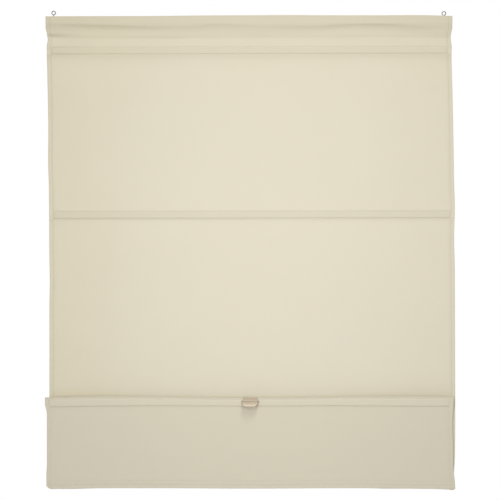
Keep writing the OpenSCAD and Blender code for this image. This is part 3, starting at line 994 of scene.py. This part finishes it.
rim_x = foot_half + (curve_w - rim_r) * np.cos(rim_turn)
rim_z = foot_z + curve_h + (curve_h - rim_r) * np.sin(rim_turn)
rim_foot = np.linspace(foot_half, -foot_half, 20)[1:-1]
rim_x = np.concatenate([rim_x, rim_foot, -rim_x[::-1]])
rim_z = np.concatenate([rim_z, np.full(len(rim_foot), foot_z + rim_r), rim_z[::-1]])
rim_y = np.interp(rim_z, lip_rows[::-1, 1], lip_rows[::-1, 0])
rim_x = rim_x + np.interp(rim_z, lip_rows[::-1, 1], askew[::-1, 0])
rim_step = np.arange(len(rim_x))
rim_last = rim_step[-1]
rim_radius = rim_r * np.interp(rim_step, [0, 6, rim_last - 6, rim_last], [0.72, 1, 1, 0.72])
rim_vertices, rim_faces = rod(placed(rim_x, rim_y, rim_z), rim_radius)
parts = [(lip_vertices, lip_faces), (plate_vertices, plate_faces), (rim_vertices, rim_faces)]
# Painted highlight on the lip, brightest towards the rim.
lip_highlight = 0.35 + 0.5 * smooth((lip_run - lip_run[-1] + 0.007) / 0.005)
# Painted shade: a dark line in the bend of the lip, on the tops of the ears and down the right end of the
# lip, where shadows fall.
below_neck = lip_rows[:, 1:] + neck_h
ear_shade = smooth((np.abs(lip_u * widths) - plate_half + 0.0015) / 0.002)
ear_shade = ear_shade * bell((below_neck + 0.0006) / 0.0016)
right_end_shade = smooth((lip_u - 0.84) / 0.08)
right_end_shade = right_end_shade * smooth(-(below_neck + 0.001) / 0.002) * smooth((lip_h + below_neck) / 0.003)
bend_shade = 0.9 * bell((below_neck + 0.0027) / 0.0015) + 0.3 * bell((below_neck + 0.0052) / 0.002)
bend_shade = np.maximum(bend_shade, np.maximum(ear_shade, 0.85 * right_end_shade))
# Painted highlight along the rim, less at its ends.
rim_end_highlight = 0.4
rim_highlight = np.interp(rim_step, [0, 9, rim_last - 9, rim_last], [rim_end_highlight, 1, 1, rim_end_highlight])
rim_highlight = np.concatenate([np.repeat(rim_highlight, rod_sides), [rim_end_highlight, rim_end_highlight]])
highlight_at = [np.tile(np.repeat(lip_highlight, lip_columns), 2), np.zeros(len(plate_vertices)), rim_highlight]
shade_at = [np.tile(bend_shade.ravel(), 2), np.zeros(len(plate_vertices)), np.zeros(len(rim_vertices))]
pin_z = lift.z - pull_hi.z
pin_end = pull_hi.y - pull_y
pin_y = np.linspace(plate_y, pin_end, 6)
for pin_x in (-pin_half, pin_half):
    parts.append(rod(placed(pin_x, pin_y, pin_z), pin_r))
    highlight_at.append(np.zeros(len(parts[-1][0])))
    shade_at.append(np.zeros(len(parts[-1][0])))
vertices, faces = joined(parts)
vertices = vertices + [pull_x, pull_y, pull_hi.z]
pull_marks = {"painted_highlight": np.concatenate(highlight_at), "pull_shade": np.concatenate(shade_at)}
pull = piece("pull", vertices, faces, pull_finish, marks=pull_marks)
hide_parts("handle")
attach(pull, "lift")

# The studio: white all round, with a pale floor well below the blind that fades into it. The main light is
# soft and stands high in front on the right. A strip and a low light in front fill in, and a wide one high
# behind lights the back.
floor_z = -1.95
floor_half = 1.8
floor_grey = (0.80, 0.80, 0.79, 1)
floor_scuffed = (0.77, 0.77, 0.76, 1)
paper_white = (1, 1, 1, 1)
room_white = (1, 0.99, 0.97, 1)
floor_finish, shade, skin = finish("floor", 0.7)
spot = shade.node("TexCoord", out=3)
scuff = shade.node("TexNoise", inputs={"Vector": spot, "Scale": 3.0, "Detail": 2.0})
scuff.blend(floor_grey, floor_scuffed).feeds(skin.inputs["Base Color"])
from_middle = shade.node("VectorMath", {"operation": "MULTIPLY"}, {0: spot, 1: (1.0, 1.0, 0.0)})
away = shade.node("VectorMath", {"operation": "LENGTH"}, {0: from_middle}, out=1)
fading = {0: away, 1: 0.5, 2: 1.75, 3: 0.0, 4: 1.0}
fade = shade.node("MapRange", {"interpolation_type": "SMOOTHSTEP"}, fading)


def white_rays(shade):
    """1 for what the camera sees straight, in a gloss or through glass, which is white all round."""
    seen = shade.node("LightPath", out=0)
    mirrored = shade.node("LightPath", out=3)
    through = shade.node("LightPath", out=6)
    return shade.maths("MINIMUM", seen + mirrored + through, 1.0)


paper = shade.node("Emission", inputs={"Color": paper_white, "Strength": 1.0})
lit = Shade(shade.tree, skin.outputs[0])
faded = shade.node("MixShader", inputs={0: fade * white_rays(shade), 1: lit, 2: paper})
faded.feeds(shade.tree.nodes["Material Output"].inputs["Surface"])
floor_mesh = bpy.data.meshes.new("floor")
floor_corners = [(-1, -1), (1, -1), (1, 1), (-1, 1)]
floor_corners = [(x * floor_half, y * floor_half, floor_z) for x, y in floor_corners]
floor_mesh.from_pydata(floor_corners, [], [(0, 1, 2, 3)])
floor_mesh.materials.append(floor_finish)
floor = bpy.data.objects.new("floor", floor_mesh)
scene.collection.objects.link(floor)


def lamp(name, place, aim, width, height, watts):
    light = bpy.data.lights.new(name, "AREA")
    light.shape = "RECTANGLE"
    light.size = width
    light.size_y = height
    light.energy = watts
    made = bpy.data.objects.new(name, light)
    made.location = place
    made.rotation_euler = (Vector(aim) - Vector(place)).to_track_quat("-Z", "Y").to_euler()
    made.visible_camera = False
    scene.collection.objects.link(made)


lamp("top_light", (0.5, -1.8, 2.4), (0.05, 0, -0.45), 1.2, 1.2, 43.6)
lamp("front_strip", (0.02, -1.15, -0.46), (0.02, 0, -0.46), 0.35, 1.0, 4.2)
lamp("low_light", (0.02, -1.3, -1.02), (0.02, 0, -0.95), 1.5, 0.4, 2.35)
lamp("window_light", (0.0, 2.5, 1.5), (0, 0, -0.6), 1.6, 1.6, 66)
world = bpy.data.worlds.new("studio")
world.use_nodes = True
scene.world = world
world.node_tree.nodes.clear()
shade = Shade(world.node_tree)
room = shade.node("Background", inputs={"Color": room_white, "Strength": 0.388})
backdrop = shade.node("Background", inputs={"Color": paper_white, "Strength": 1.0})
both = shade.node("MixShader", inputs={0: white_rays(shade), 1: room, 2: backdrop})
shade.node("OutputWorld", inputs={"Surface": both})
